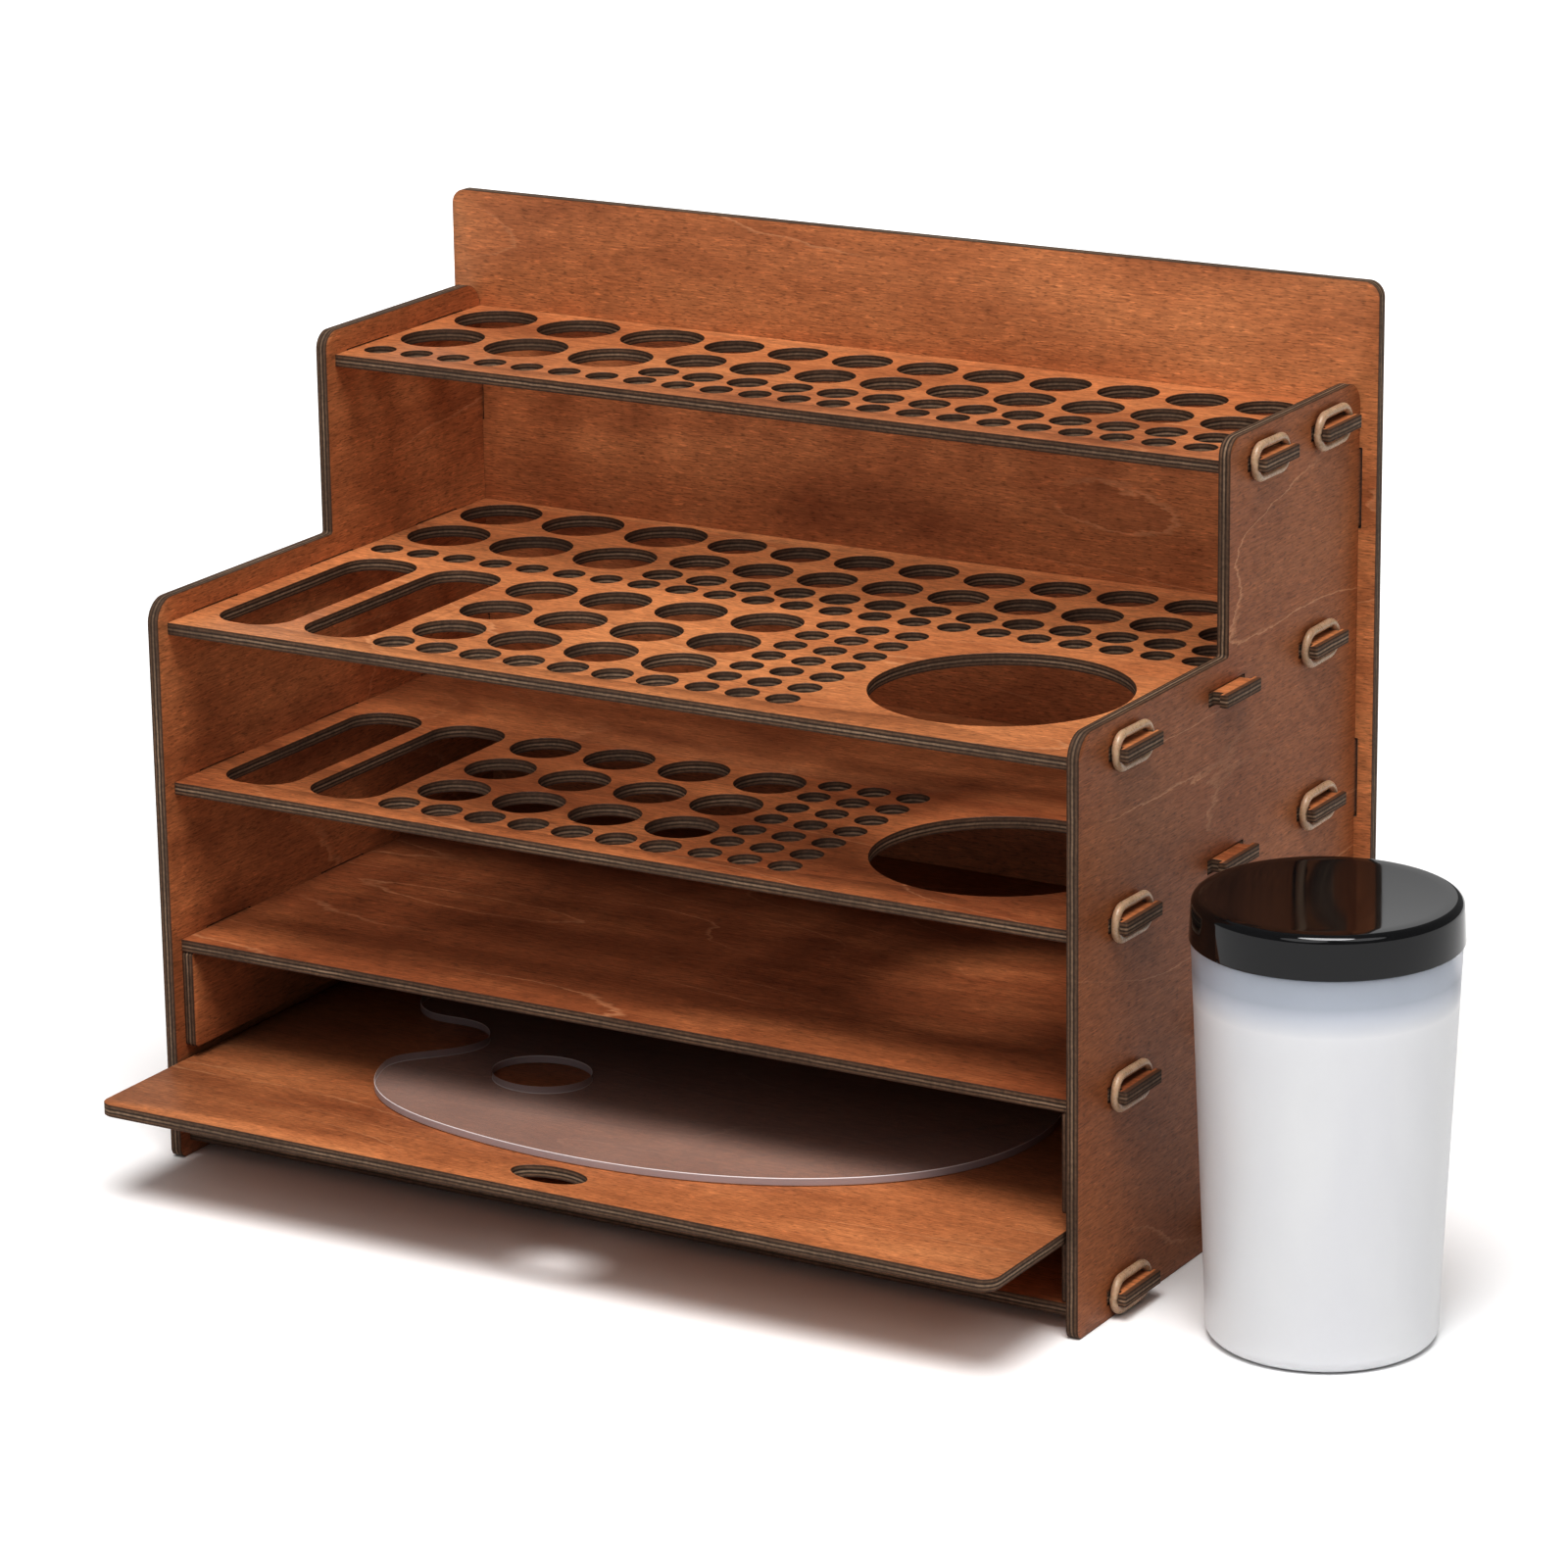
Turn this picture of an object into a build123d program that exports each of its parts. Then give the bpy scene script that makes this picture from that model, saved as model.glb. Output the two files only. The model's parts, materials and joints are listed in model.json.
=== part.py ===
from build123d import *
from dataclasses import dataclass
import os

# Hobby workstation organizer: a stepped plywood rack of laser-cut plates that plug
# into each other, with a pull-out tray, a clear palette on the tray and a lidded jar.
#
# Frame, in millimetres: X runs to the right along the width, Y to the back, Z up.
# The origin is the middle of the back panel's bottom edge, which stands on the table.
# Depths are measured forward from the front face of the back panel.

# ---------------------------------------------------------------- plywood and fits
SHEET = 4.0               # thickness of every plywood plate
SLOT_PLAY = 0.3           # gap round a tab in its slot
BACK_SLOT_PLAY = 0.8      # looser gap beside a side panel's tab in the back panel

# ---------------------------------------------------------------- overall size
BODY_WIDTH = 330.0        # over the outer faces of the two side panels
LOWER_DEPTH = 188.0       # side panel, below the step
UPPER_DEPTH = 91.0        # side panel, above the step
RIM = 8.0                 # side panel's edge above the shelf beside it
BACK_SIDE_MARGIN = 6.0    # back panel beyond the side panels
BACK_RISE = 31.0          # back panel above the side panels
BACK_CORNER_RADIUS = 5.0

# ---------------------------------------------------------------- side panels
FOOT_RADIUS = 3.0
LOWER_CORNER_RADIUS = 8.0
UPPER_CORNER_RADIUS = 6.0
REAR_CORNER_RADIUS = 8.0
STEP_RADIUS = 1.0
REAR_TAB_LENGTH = 25.0    # tabs that plug into the back panel
REAR_TAB_BOTTOMS = (18.0, 112.0, 206.0)

# ---------------------------------------------------------------- shelves, by their top faces
SHELF_1_TOP = 245.0
SHELF_2_TOP = 178.0
SHELF_3_TOP = 125.5
SHELF_4_TOP = 73.0
BOTTOM_SHELF_TOP = 9.0
FRONT_RECESS = 5.0        # shelf edge behind the side panel's front edge

# ---------------------------------------------------------------- tabs of the shelves
TAB_WIDTH = 23.5
TAB_REACH = 6.0           # how far a tab stands out of the side panel
TAB_EDGE_RADIUS = 0.8
NOTCH_LENGTH = 3.4        # notch that holds a band, from the side panel outwards
NOTCH_DEPTH = 2.6
UPPER_REAR_TAB_DEPTH = 23.0
UPPER_FRONT_TAB_SETBACK = 24.0   # middle of the tab behind the side panel's front edge
LOWER_REAR_TAB_DEPTH = 30.0
LOWER_MIDDLE_TAB_OFFSET = 1.0    # middle of the tab in front of the step
LOWER_FRONT_TAB_SETBACK = 31.0   # middle of the tab behind the side panel's front edge

# ---------------------------------------------------------------- rubber bands
BAND_RADIUS = 1.5         # half of the band's thickness
BAND_SIDES = 8            # sides of its nearly round section
BAND_HEIGHT = 10.0        # centre line, across the tab's faces
BAND_BEND_RADIUS = 4.0    # centre line, at the four bends
BAND_PLAY = 0.2           # gap to the side panel and to the notch

# ---------------------------------------------------------------- webs between holes
EDGE_WEB = 5.0            # least wood between a row's last hole and the shelf's edge
HOLE_WEB = 1.8            # least wood between two groups of holes

# ---------------------------------------------------------------- hole pattern, rear rows
POT_HOLE_RADIUS = 13.75
POT_PITCH = 32.5
POT_COLUMNS = 3
POT_SIDE_OFFSET = 17.5    # first pot hole's middle from the left side panel
POT_ROW_DEPTHS = (17.0, 49.0)
BOTTLE_HOLE_RADIUS = 9.75
BOTTLE_PITCH = 24.0
BOTTLE_OFFSET = 27.5      # first bottle hole from the last pot hole
BOTTLE_ROW_DEPTHS = (17.0, 41.0)
MARKER_HOLE_RADIUS = 6.5
MARKER_PITCH = 16.5
MARKER_OFFSET = 25.0      # first marker hole from the last pot hole
MARKER_FRONT_SETBACK = 26.0      # row behind the upper shelf's front edge
BRUSH_HOLE_RADIUS = 5.2
BRUSH_PITCH = 14.2
BRUSH_SIDE_OFFSET = 9.0   # first brush hole's middle from the left side panel
BRUSH_FRONT_SETBACK = 13.0       # row behind the upper shelf's front edge

# ---------------------------------------------------------------- hole pattern, front half
LONG_SLOT_WIDTH = 26.0
LONG_SLOT_RADIUS = 11.0
LONG_SLOT_PITCH = 32.5
LONG_SLOT_SIDE_OFFSET = 20.5     # first slot's middle from the left side panel
LONG_SLOT_FRONT_WEB = 10.5
LONG_SLOT_STEP_OVERLAP = 6.5     # how far the slot runs back past the step
TUBE_HOLE_RADIUS = 11.5
TUBE_PITCH_X = 28.0
TUBE_PITCH_Y = 26.7
TUBE_OFFSET = 30.5        # first column from the second long slot's middle
TUBE_STEP_OFFSET = 4.0    # first row in front of the step
FRONT_HOLE_RADIUS = 6.4
FRONT_PITCH = 16.0
FRONT_OFFSET = 23.0       # first hole from the second long slot's middle
FRONT_ROW_SETBACK = 14.7  # row behind the shelf's front edge
BLOCK_PITCH_X = 14.1      # block of brush holes beside the jar hole
BLOCK_PITCH_Y = 13.2
BLOCK_COLUMNS = 3
BLOCK_JAR_WEB = 7.2       # wood between the block and the jar hole
BLOCK_STEP_OVERLAP = 2.4  # first row behind the step
JAR_HOLE_PLAY = 0.8       # round the jar
JAR_HOLE_SIDE_WEB = 13.1
JAR_HOLE_FRONT_WEB = 14.6

# ---------------------------------------------------------------- tray and its rails
TRAY_REAR_GAP = 8.0       # behind the tray when it is pushed in
TRAY_SIDE_PLAY = 1.1
TRAY_CORNER_RADIUS = 5.0
TRAY_TOP = 33.3
TRAY_PLAY = 0.3           # above the lower rails
TRAY_PULLED_OUT = 44.0    # how far the tray stands out of the side panels at rest
FINGER_HOLE_WIDTH = 26.0
FINGER_HOLE_DEPTH = 13.0
FINGER_HOLE_SETBACK = 13.5
PALETTE_GAP = 3.7         # under the upper rails, above the tray
RAIL_END_RADIUS = 1.5
RAIL_REAR_GAP = 3.0       # rails stop short of the back panel

# ---------------------------------------------------------------- palette on the tray
PALETTE_THICKNESS = 2.5
PALETTE_REST = 0.2        # above the tray
THUMB_HOLE_WIDTH = 33.0
THUMB_HOLE_DEPTH = 28.0
THUMB_HOLE_X = -48.5
THUMB_HOLE_SETBACK = 85.5 # behind the tray's front edge

# ---------------------------------------------------------------- jar and lid
JAR_STANDOFF = 20.4       # between the side panel and the jar
JAR_DEPTH = 147.0
JAR_BASE_RADIUS = 34.7
JAR_TOP_RADIUS = 39.6
JAR_SHOULDER = 122.8      # height of the shoulder under the lid
JAR_WALL = 1.3
JAR_FLOOR = 2.0
JAR_BASE_FILLET = 4.5
JAR_PUSH_UP = 1.0         # shallow recess under the base
JAR_FOOT_RING = 3.0
LID_HEIGHT = 13.4         # over the jar's shoulder
LID_OVERHANG = 0.7        # lid's lower edge beyond the jar's shoulder
LID_DRAFT = 0.6           # lid's upper edge inside its lower one
LID_WALL = 1.4
LID_PLATE = 2.0
LID_EDGE_RADIUS = 2.5
LID_PLAY = 0.3            # between the lid and the jar, all round
PLUG_DEPTH = 20.0         # sealing skirt below the lid's plate
PLUG_WALL = 1.3

# ---------------------------------------------------------------- worked out from the sizes above
BACK_FRONT = -SHEET / 2                         # front face of the back panel
INNER_X = BODY_WIDTH / 2 - SHEET                # inner face of a side panel
OUTER_X = BODY_WIDTH / 2
LOWER_TOP = SHELF_2_TOP + RIM
UPPER_TOP = SHELF_1_TOP + RIM
UPPER_SHELF_DEPTH = UPPER_DEPTH - FRONT_RECESS
LOWER_SHELF_DEPTH = LOWER_DEPTH - FRONT_RECESS
TRAY_BOTTOM = TRAY_TOP - SHEET
TRAY_DEPTH = LOWER_DEPTH - TRAY_REAR_GAP
JAR_HOLE_RADIUS = JAR_TOP_RADIUS + JAR_HOLE_PLAY
SIDES = {"left": -1, "right": 1}


def depth(distance):
    """Y of a point this far in front of the back panel."""
    return BACK_FRONT - distance


TRAY_FRONT = depth(LOWER_DEPTH + TRAY_PULLED_OUT)


@dataclass(frozen=True)
class ShelfPlan:
    """Where a shelf lies, and how its tabs stand along its sides."""

    top: float
    plate_depth: float
    banded_tabs: tuple    # depths of the tabs that carry a band, rear one first
    plain_tabs: tuple = ()

    @property
    def tabs(self):
        """Depths of all its tabs on one side."""
        return self.banded_tabs + self.plain_tabs


UPPER_TABS = (UPPER_REAR_TAB_DEPTH, UPPER_DEPTH - UPPER_FRONT_TAB_SETBACK)
LOWER_BANDED_TABS = (LOWER_REAR_TAB_DEPTH, LOWER_DEPTH - LOWER_FRONT_TAB_SETBACK)
LOWER_PLAIN_TABS = (UPPER_DEPTH + LOWER_MIDDLE_TAB_OFFSET,)
LOWER_TOPS = {"shelf_2": SHELF_2_TOP, "shelf_3": SHELF_3_TOP, "shelf_4": SHELF_4_TOP,
              "bottom_shelf": BOTTOM_SHELF_TOP}
SHELVES = {"shelf_1": ShelfPlan(SHELF_1_TOP, UPPER_SHELF_DEPTH, UPPER_TABS)}
for lower_name, lower_top in LOWER_TOPS.items():
    SHELVES[lower_name] = ShelfPlan(lower_top, LOWER_SHELF_DEPTH, LOWER_BANDED_TABS, LOWER_PLAIN_TABS)


# ---------------------------------------------------------------- side panels
def side_profile():
    """Stepped outline of a side panel in the YZ plane, without its rear tabs."""
    front = depth(LOWER_DEPTH)
    step = depth(UPPER_DEPTH)
    radii = {
        (BACK_FRONT, 0): 0,
        (front, 0): FOOT_RADIUS,
        (front, LOWER_TOP): LOWER_CORNER_RADIUS,
        (step, LOWER_TOP): STEP_RADIUS,
        (step, UPPER_TOP): UPPER_CORNER_RADIUS,
        (BACK_FRONT, UPPER_TOP): REAR_CORNER_RADIUS,
    }
    outline = make_face(Polyline(*radii, close=True))
    for corner, radius in radii.items():
        if radius:
            outline = fillet(outline.vertices().sort_by_distance(corner)[0], radius)
    return outline


def rear_tabs():
    """Fingers on the rear edge that fill the back panel's thickness."""
    tabs = []
    for bottom in REAR_TAB_BOTTOMS:
        middle = (BACK_FRONT + SHEET / 2, bottom + REAR_TAB_LENGTH / 2)
        tabs.append(Pos(*middle) * Rectangle(SHEET, REAR_TAB_LENGTH))
    return tabs


def tab_slots(side):
    """Slots through a side panel for the tabs of every shelf."""
    cutter = Box(2 * SHEET, TAB_WIDTH + 2 * SLOT_PLAY, SHEET + 2 * SLOT_PLAY)
    slots = []
    for plan in SHELVES.values():
        for tab_depth in plan.tabs:
            slots.append(Pos(side * (INNER_X + SHEET / 2), depth(tab_depth), plan.top - SHEET / 2) * cutter)
    return slots


def side_panel(side):
    sketch = side_profile() + rear_tabs()
    panel = extrude(Plane.YZ * sketch, SHEET / 2, both=True)
    return Pos(side * (INNER_X + SHEET / 2), 0, 0) * panel - tab_slots(side)


# ---------------------------------------------------------------- back panel
def back_panel():
    """Plate behind the rack, with a slot for each rear tab; the play is wider on the outside."""
    height = UPPER_TOP + BACK_RISE
    plate = Pos(0, height / 2) * RectangleRounded(BODY_WIDTH + 2 * BACK_SIDE_MARGIN, height, BACK_CORNER_RADIUS)
    slot = Rectangle(SHEET + SLOT_PLAY + BACK_SLOT_PLAY, REAR_TAB_LENGTH + 2 * SLOT_PLAY)
    for side in SIDES.values():
        slot_x = side * (INNER_X + SHEET / 2 + (BACK_SLOT_PLAY - SLOT_PLAY) / 2)
        for bottom in REAR_TAB_BOTTOMS:
            plate -= Pos(slot_x, bottom + REAR_TAB_LENGTH / 2) * slot
    return extrude(Plane.XZ * plate, SHEET / 2, both=True)


# ---------------------------------------------------------------- hole patterns, as sketches seen from above
LAST_POT_X = -INNER_X + POT_SIDE_OFFSET + (POT_COLUMNS - 1) * POT_PITCH
LAST_SLOT_X = -INNER_X + LONG_SLOT_SIDE_OFFSET + LONG_SLOT_PITCH
JAR_HOLE_X = INNER_X - JAR_HOLE_SIDE_WEB - JAR_HOLE_RADIUS
LAST_BLOCK_X = JAR_HOLE_X - JAR_HOLE_RADIUS - BLOCK_JAR_WEB - BRUSH_HOLE_RADIUS
FIRST_BLOCK_X = LAST_BLOCK_X - (BLOCK_COLUMNS - 1) * BLOCK_PITCH_X
FRONT_ROW_DEPTH = LOWER_SHELF_DEPTH - FRONT_ROW_SETBACK


def evenly(first, last, pitch):
    """Places from the first one on, a pitch apart, as far as the last one may lie."""
    return [first + i * pitch for i in range(int((last - first) / pitch) + 1)]


def hole_row(radius, xs, row_depth):
    return [Pos(x, depth(row_depth)) * Circle(radius) for x in xs]


def rear_pattern():
    """Holes for paint pots, bottles, markers and brushes behind the step."""
    right_edge = INNER_X - EDGE_WEB
    pot_xs = evenly(-INNER_X + POT_SIDE_OFFSET, LAST_POT_X, POT_PITCH)
    bottle_xs = evenly(LAST_POT_X + BOTTLE_OFFSET, right_edge - BOTTLE_HOLE_RADIUS, BOTTLE_PITCH)
    marker_xs = evenly(LAST_POT_X + MARKER_OFFSET, right_edge - MARKER_HOLE_RADIUS, MARKER_PITCH)
    brush_xs = evenly(-INNER_X + BRUSH_SIDE_OFFSET, right_edge - BRUSH_HOLE_RADIUS, BRUSH_PITCH)
    holes = []
    for row_depth in POT_ROW_DEPTHS:
        holes += hole_row(POT_HOLE_RADIUS, pot_xs, row_depth)
    for row_depth in BOTTLE_ROW_DEPTHS:
        holes += hole_row(BOTTLE_HOLE_RADIUS, bottle_xs, row_depth)
    holes += hole_row(MARKER_HOLE_RADIUS, marker_xs, UPPER_SHELF_DEPTH - MARKER_FRONT_SETBACK)
    holes += hole_row(BRUSH_HOLE_RADIUS, brush_xs, UPPER_SHELF_DEPTH - BRUSH_FRONT_SETBACK)
    return holes


def long_slots():
    """Two rounded slots from just behind the step to the front web."""
    rear_end = UPPER_DEPTH - LONG_SLOT_STEP_OVERLAP
    front_end = LOWER_SHELF_DEPTH - LONG_SLOT_FRONT_WEB
    slot = RectangleRounded(LONG_SLOT_WIDTH, front_end - rear_end, LONG_SLOT_RADIUS)
    return [Pos(x, depth((rear_end + front_end) / 2)) * slot for x in (LAST_SLOT_X - LONG_SLOT_PITCH, LAST_SLOT_X)]


def front_pattern():
    """Long slots, tube holes, brush holes and the jar hole in front of the step."""
    holes = long_slots()
    block_edge = FIRST_BLOCK_X - BRUSH_HOLE_RADIUS - HOLE_WEB
    tube_xs = evenly(LAST_SLOT_X + TUBE_OFFSET, block_edge - TUBE_HOLE_RADIUS, TUBE_PITCH_X)
    last_tube_depth = FRONT_ROW_DEPTH - FRONT_HOLE_RADIUS - HOLE_WEB - TUBE_HOLE_RADIUS
    for row_depth in evenly(UPPER_DEPTH + TUBE_STEP_OFFSET, last_tube_depth, TUBE_PITCH_Y):
        holes += hole_row(TUBE_HOLE_RADIUS, tube_xs, row_depth)
    front_xs = evenly(LAST_SLOT_X + FRONT_OFFSET, block_edge - FRONT_HOLE_RADIUS, FRONT_PITCH)
    holes += hole_row(FRONT_HOLE_RADIUS, front_xs, FRONT_ROW_DEPTH)
    block_xs = [LAST_BLOCK_X - i * BLOCK_PITCH_X for i in range(BLOCK_COLUMNS)]
    last_block_depth = LOWER_SHELF_DEPTH - EDGE_WEB - BRUSH_HOLE_RADIUS
    for row_depth in evenly(UPPER_DEPTH - BLOCK_STEP_OVERLAP, last_block_depth, BLOCK_PITCH_Y):
        holes += hole_row(BRUSH_HOLE_RADIUS, block_xs, row_depth)
    jar_hole_depth = LOWER_SHELF_DEPTH - JAR_HOLE_FRONT_WEB - JAR_HOLE_RADIUS
    holes += hole_row(JAR_HOLE_RADIUS, [JAR_HOLE_X], jar_hole_depth)
    return holes


PATTERNS = {
    "shelf_1": rear_pattern(),
    "shelf_2": rear_pattern() + front_pattern(),
    "shelf_3": front_pattern(),
}


# ---------------------------------------------------------------- shelves
def shelf_tab(side, tab_depth):
    """A tab through the side panel, with a notch for a band on each of its edges."""
    reach = SHEET + TAB_REACH
    tab = Pos(side * (INNER_X + reach / 2), depth(tab_depth)) * Rectangle(reach, TAB_WIDTH)
    end = (side * (INNER_X + reach), depth(tab_depth))
    outer_corners = tab.vertices().sort_by_distance(end)[0:2]
    tab = fillet(outer_corners, TAB_EDGE_RADIUS)
    for edge in (-1, 1):
        notch_y = depth(tab_depth) + edge * (TAB_WIDTH / 2)
        notch_x = side * (OUTER_X + NOTCH_LENGTH / 2)
        tab -= Pos(notch_x, notch_y) * Rectangle(NOTCH_LENGTH, 2 * NOTCH_DEPTH)
    return tab


def shelf(name):
    plan = SHELVES[name]
    outline = Pos(0, depth(plan.plate_depth / 2)) * Rectangle(2 * INNER_X, plan.plate_depth)
    for side in SIDES.values():
        outline += [shelf_tab(side, tab_depth) for tab_depth in plan.tabs]
    if name in PATTERNS:
        outline -= PATTERNS[name]
    return Pos(0, 0, plan.top - SHEET) * extrude(outline, SHEET)


# ---------------------------------------------------------------- rubber bands
def band(side, tab_depth, top):
    """A rubber band stretched round a tab's notches, flat against the side panel."""
    half_length = TAB_WIDTH / 2 - NOTCH_DEPTH + BAND_PLAY + BAND_RADIUS
    centre_x = side * (OUTER_X + BAND_PLAY + BAND_RADIUS)
    plane = Plane(origin=(centre_x, depth(tab_depth), top - SHEET / 2), x_dir=(0, 1, 0), z_dir=(1, 0, 0))
    loop = plane * RectangleRounded(2 * half_length, BAND_HEIGHT, BAND_BEND_RADIUS)
    path = loop.faces()[0].outer_wire()
    half_turn = 180 / BAND_SIDES
    polygon = RegularPolygon(BAND_RADIUS, BAND_SIDES, major_radius=False, rotation=half_turn)
    section = Plane(origin=path @ 0, x_dir=(1, 0, 0), z_dir=path % 0) * polygon
    return sweep(section, path=path)


# ---------------------------------------------------------------- rails and tray
def rail(side, bottom, top):
    """A plywood strip on the inner face of a side panel, beside the tray."""
    front = depth(LOWER_SHELF_DEPTH)
    rear = depth(RAIL_REAR_GAP)
    strip = RectangleRounded(rear - front, top - bottom, RAIL_END_RADIUS)
    strip = extrude(Plane.YZ * (Pos((front + rear) / 2, (bottom + top) / 2) * strip), SHEET / 2, both=True)
    return Pos(side * (INNER_X - SHEET / 2), 0, 0) * strip


def sliding_tray():
    width = 2 * (INNER_X - TRAY_SIDE_PLAY)
    plate = Pos(0, TRAY_FRONT + TRAY_DEPTH / 2) * RectangleRounded(width, TRAY_DEPTH, TRAY_CORNER_RADIUS)
    finger_hole = Ellipse(FINGER_HOLE_WIDTH / 2, FINGER_HOLE_DEPTH / 2)
    plate -= Pos(0, TRAY_FRONT + FINGER_HOLE_SETBACK) * finger_hole
    return Pos(0, 0, TRAY_BOTTOM) * extrude(plate, SHEET)


# ---------------------------------------------------------------- palette
# Outline points, X and the distance behind the tray's front edge, anticlockwise from the
# left lobe: round the front, the right end and the back, then in and out of the notch.
PALETTE_OUTLINE = (
    (-98, 69), (-80, 42), (-42, 28), (0, 24), (42, 29), (80, 45), (108, 72), (118, 108),
    (106, 148), (70, 175), (10, 184), (-60, 178), (-105, 158), (-124, 132), (-112, 117), (-92, 115.5),
    (-81.5, 104), (-88, 88),
)


def palette():
    points = [(x, TRAY_FRONT + behind) for x, behind in PALETTE_OUTLINE]
    outline = make_face(Spline(*points, periodic=True))
    thumb_hole = Ellipse(THUMB_HOLE_WIDTH / 2, THUMB_HOLE_DEPTH / 2)
    outline -= Pos(THUMB_HOLE_X, TRAY_FRONT + THUMB_HOLE_SETBACK) * thumb_hole
    return Pos(0, 0, TRAY_TOP + PALETTE_REST) * extrude(outline, PALETTE_THICKNESS)


# ---------------------------------------------------------------- jar and lid, as revolved profiles
JAR_X = OUTER_X + JAR_STANDOFF + JAR_TOP_RADIUS
LID_TOP = JAR_SHOULDER + LID_HEIGHT
LID_LOWER_RADIUS = JAR_TOP_RADIUS + LID_OVERHANG
LID_UPPER_RADIUS = LID_LOWER_RADIUS - LID_DRAFT
NECK_RADIUS = LID_LOWER_RADIUS - LID_WALL - 2 * LID_PLAY      # outside of the jar's neck
PLATE_BOTTOM = LID_TOP - LID_PLATE
NECK_TOP = PLATE_BOTTOM - LID_PLAY
PLUG_RADIUS = NECK_RADIUS - JAR_WALL - LID_PLAY


def revolve_round_jar(profile):
    return Pos(JAR_X, depth(JAR_DEPTH), 0) * revolve(Plane.XZ * profile, Axis.Z)


def jar():
    """Tapered cup with a foot ring, a shoulder and a straight neck."""
    recess_radius = JAR_BASE_RADIUS - JAR_BASE_FILLET - JAR_FOOT_RING
    floor_top = JAR_PUSH_UP + JAR_FLOOR
    outer_foot = (JAR_BASE_RADIUS, 0)
    inner_foot = (JAR_BASE_RADIUS - JAR_WALL, floor_top)
    corners = [
        (0, JAR_PUSH_UP), (recess_radius, JAR_PUSH_UP), (recess_radius + JAR_PUSH_UP, 0), outer_foot,
        (JAR_TOP_RADIUS, JAR_SHOULDER), (NECK_RADIUS, JAR_SHOULDER), (NECK_RADIUS, NECK_TOP),
        (NECK_RADIUS - JAR_WALL, NECK_TOP), (NECK_RADIUS - JAR_WALL, JAR_SHOULDER - JAR_WALL),
        inner_foot, (0, floor_top),
    ]
    profile = make_face(Polyline(*corners, close=True))
    profile = fillet(profile.vertices().sort_by_distance(outer_foot)[0], JAR_BASE_FILLET)
    profile = fillet(profile.vertices().sort_by_distance(inner_foot)[0], JAR_BASE_FILLET - JAR_WALL)
    return revolve_round_jar(profile)


def jar_lid():
    """Cap with an outer skirt over the neck and a sealing skirt inside it."""
    skirt_bottom = JAR_SHOULDER + LID_PLAY
    skirt_inside = LID_LOWER_RADIUS - LID_WALL
    plug_bottom = PLATE_BOTTOM - PLUG_DEPTH
    top_edge = (LID_UPPER_RADIUS, LID_TOP)
    corners = [
        (0, LID_TOP), top_edge, (LID_LOWER_RADIUS, skirt_bottom), (skirt_inside, skirt_bottom),
        (skirt_inside - LID_PLAY, PLATE_BOTTOM), (PLUG_RADIUS, PLATE_BOTTOM), (PLUG_RADIUS, plug_bottom),
        (PLUG_RADIUS - PLUG_WALL, plug_bottom), (PLUG_RADIUS - PLUG_WALL, PLATE_BOTTOM), (0, PLATE_BOTTOM),
    ]
    profile = make_face(Polyline(*corners, close=True))
    profile = fillet(profile.vertices().sort_by_distance(top_edge)[0], LID_EDGE_RADIUS)
    return revolve_round_jar(profile)


# ---------------------------------------------------------------- all pieces
def build_parts():
    parts = {"back_panel": back_panel()}
    for side_name, side in SIDES.items():
        parts[f"side_panel_{side_name}"] = side_panel(side)
        parts[f"upper_rail_{side_name}"] = rail(side, TRAY_TOP + PALETTE_GAP, SHELF_4_TOP - SHEET)
        parts[f"lower_rail_{side_name}"] = rail(side, BOTTOM_SHELF_TOP, TRAY_BOTTOM - TRAY_PLAY)
    for name, plan in SHELVES.items():
        parts[name] = shelf(name)
        for side_name, side in SIDES.items():
            for place, tab_depth in zip(("rear", "front"), plan.banded_tabs):
                parts[f"band_{name}_{place}_{side_name}"] = band(side, tab_depth, plan.top)
    parts["sliding_tray"] = sliding_tray()
    parts["palette"] = palette()
    parts["jar"] = jar()
    parts["jar_lid"] = jar_lid()
    return parts


os.makedirs("parts", exist_ok=True)
for node, shape in build_parts().items():
    export_step(shape, f"parts/{node}.step")
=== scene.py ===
"""Finishes the hobby workstation organizer: its plywood, bands, tray, palette, jar and studio."""

import json
import logging
import math
from dataclasses import dataclass
from enum import Enum
from itertools import product
from typing import Protocol

import bmesh
import bpy
import numpy as np
from mathutils import Matrix, Vector


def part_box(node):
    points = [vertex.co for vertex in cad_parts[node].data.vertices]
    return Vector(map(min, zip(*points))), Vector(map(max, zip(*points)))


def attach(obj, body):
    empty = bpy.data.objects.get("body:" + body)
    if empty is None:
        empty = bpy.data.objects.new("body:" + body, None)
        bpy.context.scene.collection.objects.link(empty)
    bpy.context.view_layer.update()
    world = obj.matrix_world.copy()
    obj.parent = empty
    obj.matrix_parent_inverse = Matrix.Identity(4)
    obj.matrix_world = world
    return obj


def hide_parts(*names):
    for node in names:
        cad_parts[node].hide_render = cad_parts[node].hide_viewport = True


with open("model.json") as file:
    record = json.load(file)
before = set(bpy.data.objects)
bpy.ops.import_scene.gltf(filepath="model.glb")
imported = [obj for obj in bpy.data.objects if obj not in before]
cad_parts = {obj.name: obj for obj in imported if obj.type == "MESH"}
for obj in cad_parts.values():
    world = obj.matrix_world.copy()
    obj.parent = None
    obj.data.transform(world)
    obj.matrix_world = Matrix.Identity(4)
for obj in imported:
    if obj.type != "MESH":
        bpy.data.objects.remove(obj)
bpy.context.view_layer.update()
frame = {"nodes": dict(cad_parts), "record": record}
BODY_OF = {node: body for body, nodes in frame["record"]["behaviour"]["bodies"].items() for node in nodes}

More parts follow.
